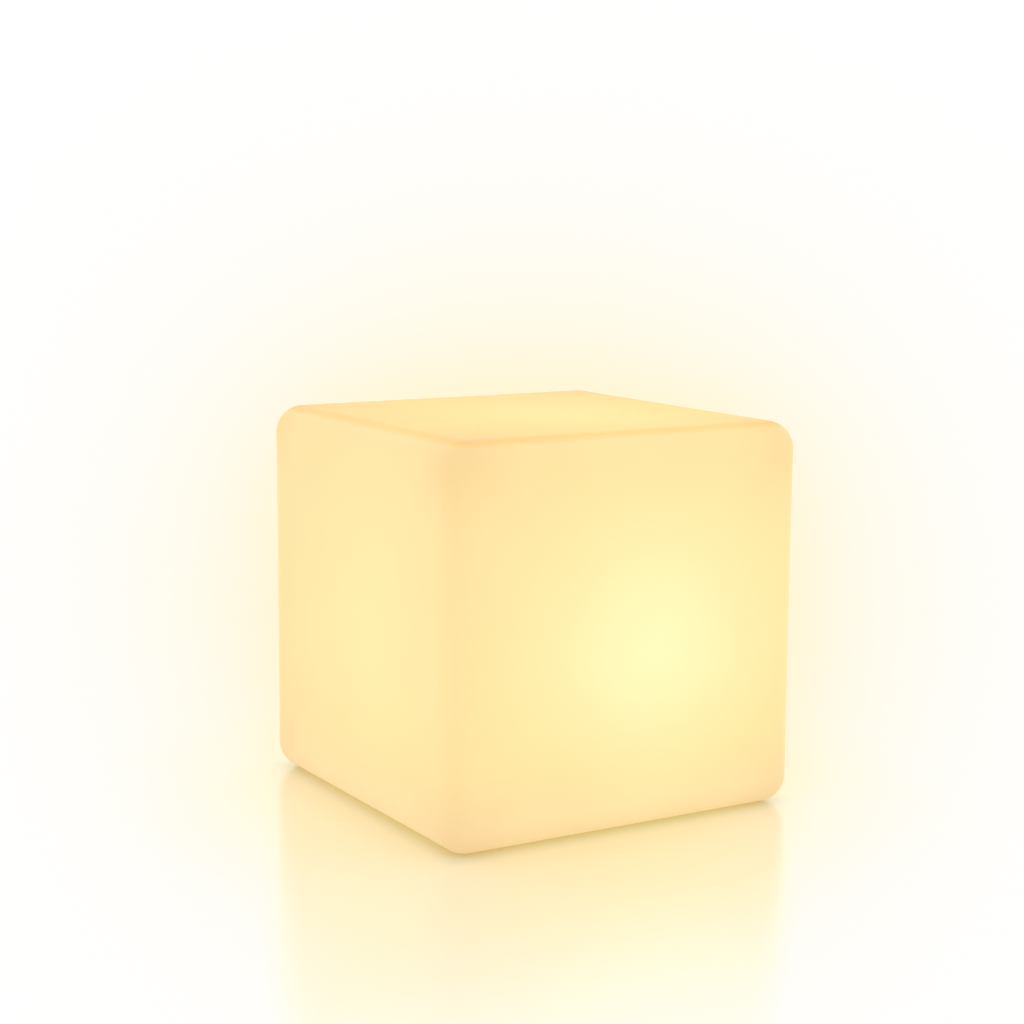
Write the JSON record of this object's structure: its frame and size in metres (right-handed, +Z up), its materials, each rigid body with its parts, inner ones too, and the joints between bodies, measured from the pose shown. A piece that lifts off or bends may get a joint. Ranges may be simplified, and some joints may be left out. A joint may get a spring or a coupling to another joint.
{
  "type": "led cube light",
  "caption": "Free-standing glowing cube lamp: milky rounded shell with a rechargeable LED module screwed into its underside.",
  "frame": {"origin": "middle of the underside, on the surface that the cube stands on", "axes": "+Z up; -Y is the broad face at the right of the picture and -X the narrow face at its left"},
  "size_m": [0.2, 0.2, 0.195],
  "materials": {
    "milky_polyethylene": "satin, translucent, moulded",
    "frosted_polycarbonate": "frosted, translucent",
    "white_abs": "fine spark-eroded texture",
    "grey_button": "satin",
    "white_silicone": "matte",
    "grey_seal": "matte",
    "zinc_screw": "zinc plated",
    "spring_steel": "drawn wire",
    "black_nylon": "moulded",
    "nickel_contact": "nickel plated",
    "green_board": "solder resist",
    "white_board": "white solder resist on aluminium",
    "chip_epoxy": "moulded epoxy",
    "ferrite": "sintered",
    "capacitor_can": "drawn can",
    "led_package": "white package with a phosphor window",
    "clear_acrylic": "polished",
    "white_nylon": "moulded",
    "lead_insulation": "extruded",
    "cell_sleeve": "shrink sleeve on a steel can",
    "spreader_aluminium": "rolled sheet"
  },
  "bodies": {
    "lamp": {"cube_shell": "milky_polyethylene", "module_base": "white_abs", "base_gasket": "grey_seal", "base_screws": "zinc_screw", "button_retainer": "white_abs", "button_seal": "grey_seal", "button_spring": "spring_steel", "tact_switch": "black_nylon", "dc_socket": "black_nylon", "socket_contacts": "nickel_contact", "socket_washer": "grey_seal", "socket_nut": "nickel_contact", "socket_leads": "lead_insulation", "cover_tether": "white_silicone", "light_pipe": "clear_acrylic", "indicator_led": "led_package", "control_board": "green_board", "board_screws": "zinc_screw", "board_chips": "chip_epoxy", "board_inductor": "ferrite", "board_capacitor": "capacitor_can", "battery_header": "white_nylon", "battery_plug": "white_nylon", "battery_leads": "lead_insulation", "battery_cell": "cell_sleeve", "battery_tabs": "nickel_contact", "battery_clamp": "white_abs", "clamp_screws": "zinc_screw", "lamp_tray": "white_abs", "heat_spreader": "spreader_aluminium", "led_board": "white_board", "led_board_screws": "zinc_screw", "led_chips": "led_package", "ir_receiver": "black_nylon", "led_header": "white_nylon", "led_leads": "lead_insulation", "dome_seal": "grey_seal", "diffuser_dome": "frosted_polycarbonate", "dome_screws": "zinc_screw"},
    "power_button": {"power_button": "grey_button", "switch_plunger": "white_nylon"},
    "port_cover": {"port_cover": "white_silicone"}
  },
  "joints": [
    {"name": "button_press", "type": "slide", "parent": "lamp", "child": "power_button", "axis": [0, 0, 1], "range_m": [0, 0.0008], "stiffness_N_per_m": 1600, "springref_m": -0.001, "deforming": ["button_spring"]},
    {"name": "cover_swing", "type": "hinge", "parent": "lamp", "child": "port_cover", "pos_m": [0.009, -0.02002, 0.0015], "axis": [0, 1, 0], "range_deg": [0, 150]}
  ]
}
